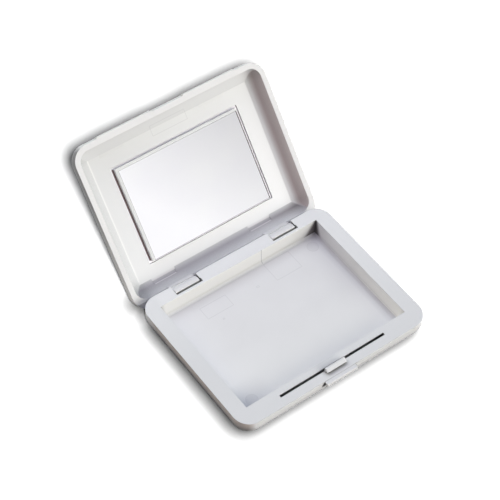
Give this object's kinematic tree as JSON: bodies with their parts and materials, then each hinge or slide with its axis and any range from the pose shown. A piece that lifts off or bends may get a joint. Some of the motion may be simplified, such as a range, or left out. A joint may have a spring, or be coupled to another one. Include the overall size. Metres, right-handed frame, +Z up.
{
  "type": "wet palette",
  "caption": "Shallow white moulded palette case with a hinged lid, a bevelled mirror plate inside the lid, an empty sharp-cornered tray and a sprung front catch with a press tab.",
  "frame": {"origin": "centre of the base's flat underside", "axes": "+X along the hinge, +Y from the press tab towards the hinge and the open lid, +Z up"},
  "size_m": [0.16, 0.215, 0.1012],
  "materials": {
    "base_plastic": "satin",
    "lid_plastic": "satin",
    "mirror": "polished",
    "foam_tape": "matte",
    "pin_steel": "bright"
  },
  "bodies": {
    "base": {"tray_frame": "base_plastic", "bottom_shell": "base_plastic", "hinge_pin_left": "pin_steel", "hinge_pin_right": "pin_steel"},
    "lid": {"lid_shell": "lid_plastic", "mirror_plate": "mirror", "mirror_pad": "foam_tape"},
    "latch": {"latch_bar": "base_plastic"}
  },
  "joints": [
    {"name": "lid_hinge", "type": "hinge", "parent": "base", "child": "lid", "pos_m": [0, 0.0595, 0.011], "axis": [1, 0, 0], "range_deg": [0, 130.4]},
    {"name": "catch_press", "type": "slide", "parent": "base", "child": "latch", "axis": [0, 1, 0], "range_m": [0, 0.0015], "stiffness_N_per_m": 900}
  ]
}
